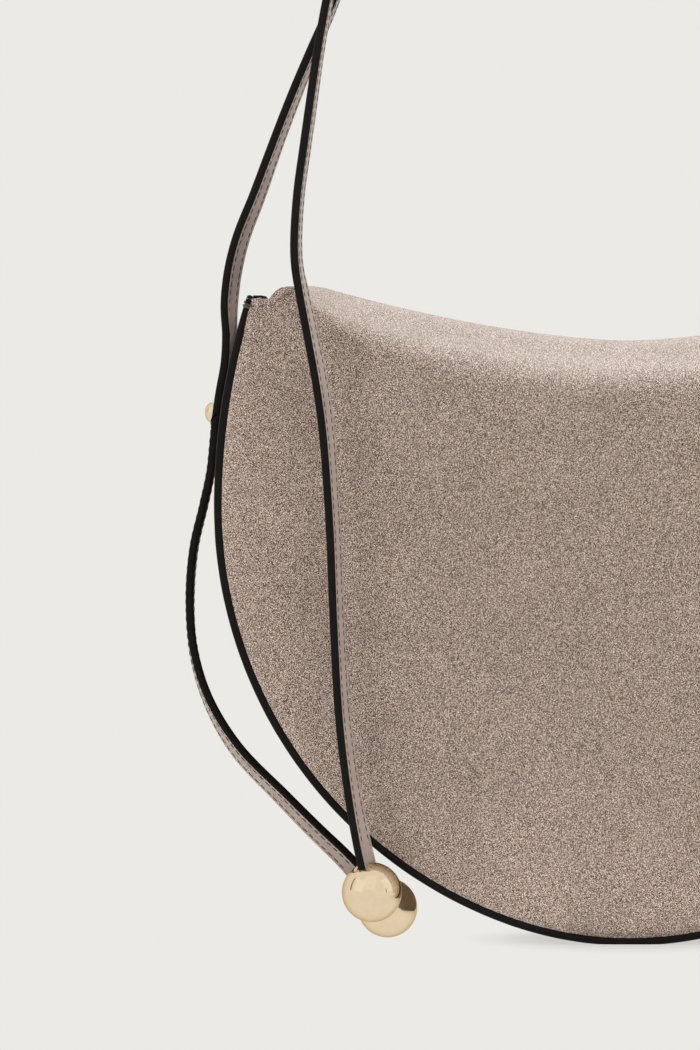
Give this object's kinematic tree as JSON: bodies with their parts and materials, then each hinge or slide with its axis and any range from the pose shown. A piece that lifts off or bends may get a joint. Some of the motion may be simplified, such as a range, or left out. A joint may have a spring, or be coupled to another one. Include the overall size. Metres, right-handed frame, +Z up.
{
  "type": "half moon shoulder bag",
  "caption": "Half moon suede shoulder bag with a fold-over flap, black piped edges and a doubled strap whose free ends finish in metal balls.",
  "frame": {"origin": "middle of the flat at the lowest point of the gusset, on which the bag stands", "axes": "+X along the bag to the right seen from its plain front face, +Y from that face to the back, +Z up"},
  "size_m": [0.3018, 0.0989, 0.4612],
  "materials": {
    "suede": "taupe suede with a short nap",
    "piping": "black painted edge",
    "lining": "taupe woven lining",
    "pocket_trim": "smooth leather",
    "strap_leather": "smooth taupe leather with black painted edges",
    "gold": "polished pale gold",
    "washer_steel": "plain steel"
  },
  "bodies": {
    "bag": {"front_panel": "suede", "back_panel": "suede", "gusset": "suede", "front_piping": "piping", "back_piping": "piping", "front_lining": "lining", "back_lining": "lining", "gusset_lining": "lining", "slip_pocket": "lining", "pocket_binding": "pocket_trim", "back_snap": "gold", "back_snap_washer": "washer_steel", "stud_left": "gold", "stud_right": "gold", "stud_barrel_left": "gold", "stud_barrel_right": "gold"},
    "flap_body": {"flap": "suede", "flap_lining": "lining", "flap_snap": "gold", "flap_snap_washer": "washer_steel"},
    "strap_body": {"strap_inner": "strap_leather", "strap_outer": "strap_leather"},
    "front_end_left": {"front_tail_left": "strap_leather", "front_ball_left": "gold"},
    "front_end_right": {"front_tail_right": "strap_leather", "front_ball_right": "gold"},
    "rear_end_left": {"rear_tail_left": "strap_leather", "rear_ball_left": "gold"},
    "rear_end_right": {"rear_tail_right": "strap_leather", "rear_ball_right": "gold"}
  },
  "joints": [
    {"name": "flap_fold", "type": "hinge", "parent": "bag", "child": "flap_body", "pos_m": [0, -0.0354, 0.221], "axis": [1, 0, 0], "range_deg": [0, 85]},
    {"name": "strap_lean", "type": "hinge", "parent": "bag", "child": "strap_body", "pos_m": [0, 0, 0.18], "axis": [1, 0, 0], "range_deg": [0, 12]},
    {"name": "front_hang_left", "type": "hinge", "parent": "strap_body", "child": "front_end_left", "pos_m": [-0.0805, 0, 0.38], "axis": [1, 0, 0], "range_deg": [-12, 0]},
    {"name": "front_hang_right", "type": "hinge", "parent": "strap_body", "child": "front_end_right", "pos_m": [0.0805, 0, 0.38], "axis": [1, 0, 0], "range_deg": [-12, 0]},
    {"name": "rear_swing_left", "type": "hinge", "parent": "bag", "child": "rear_end_left", "pos_m": [-0.1408, 0, 0.18], "axis": [1, 0, 0], "range_deg": [-8, 8]},
    {"name": "rear_swing_right", "type": "hinge", "parent": "bag", "child": "rear_end_right", "pos_m": [0.1408, 0, 0.18], "axis": [1, 0, 0], "range_deg": [-8, 8]}
  ],
  "couplings": [
    {"joint": "front_hang_left", "follows": "strap_lean", "ratio": -1},
    {"joint": "front_hang_right", "follows": "strap_lean", "ratio": -1}
  ]
}
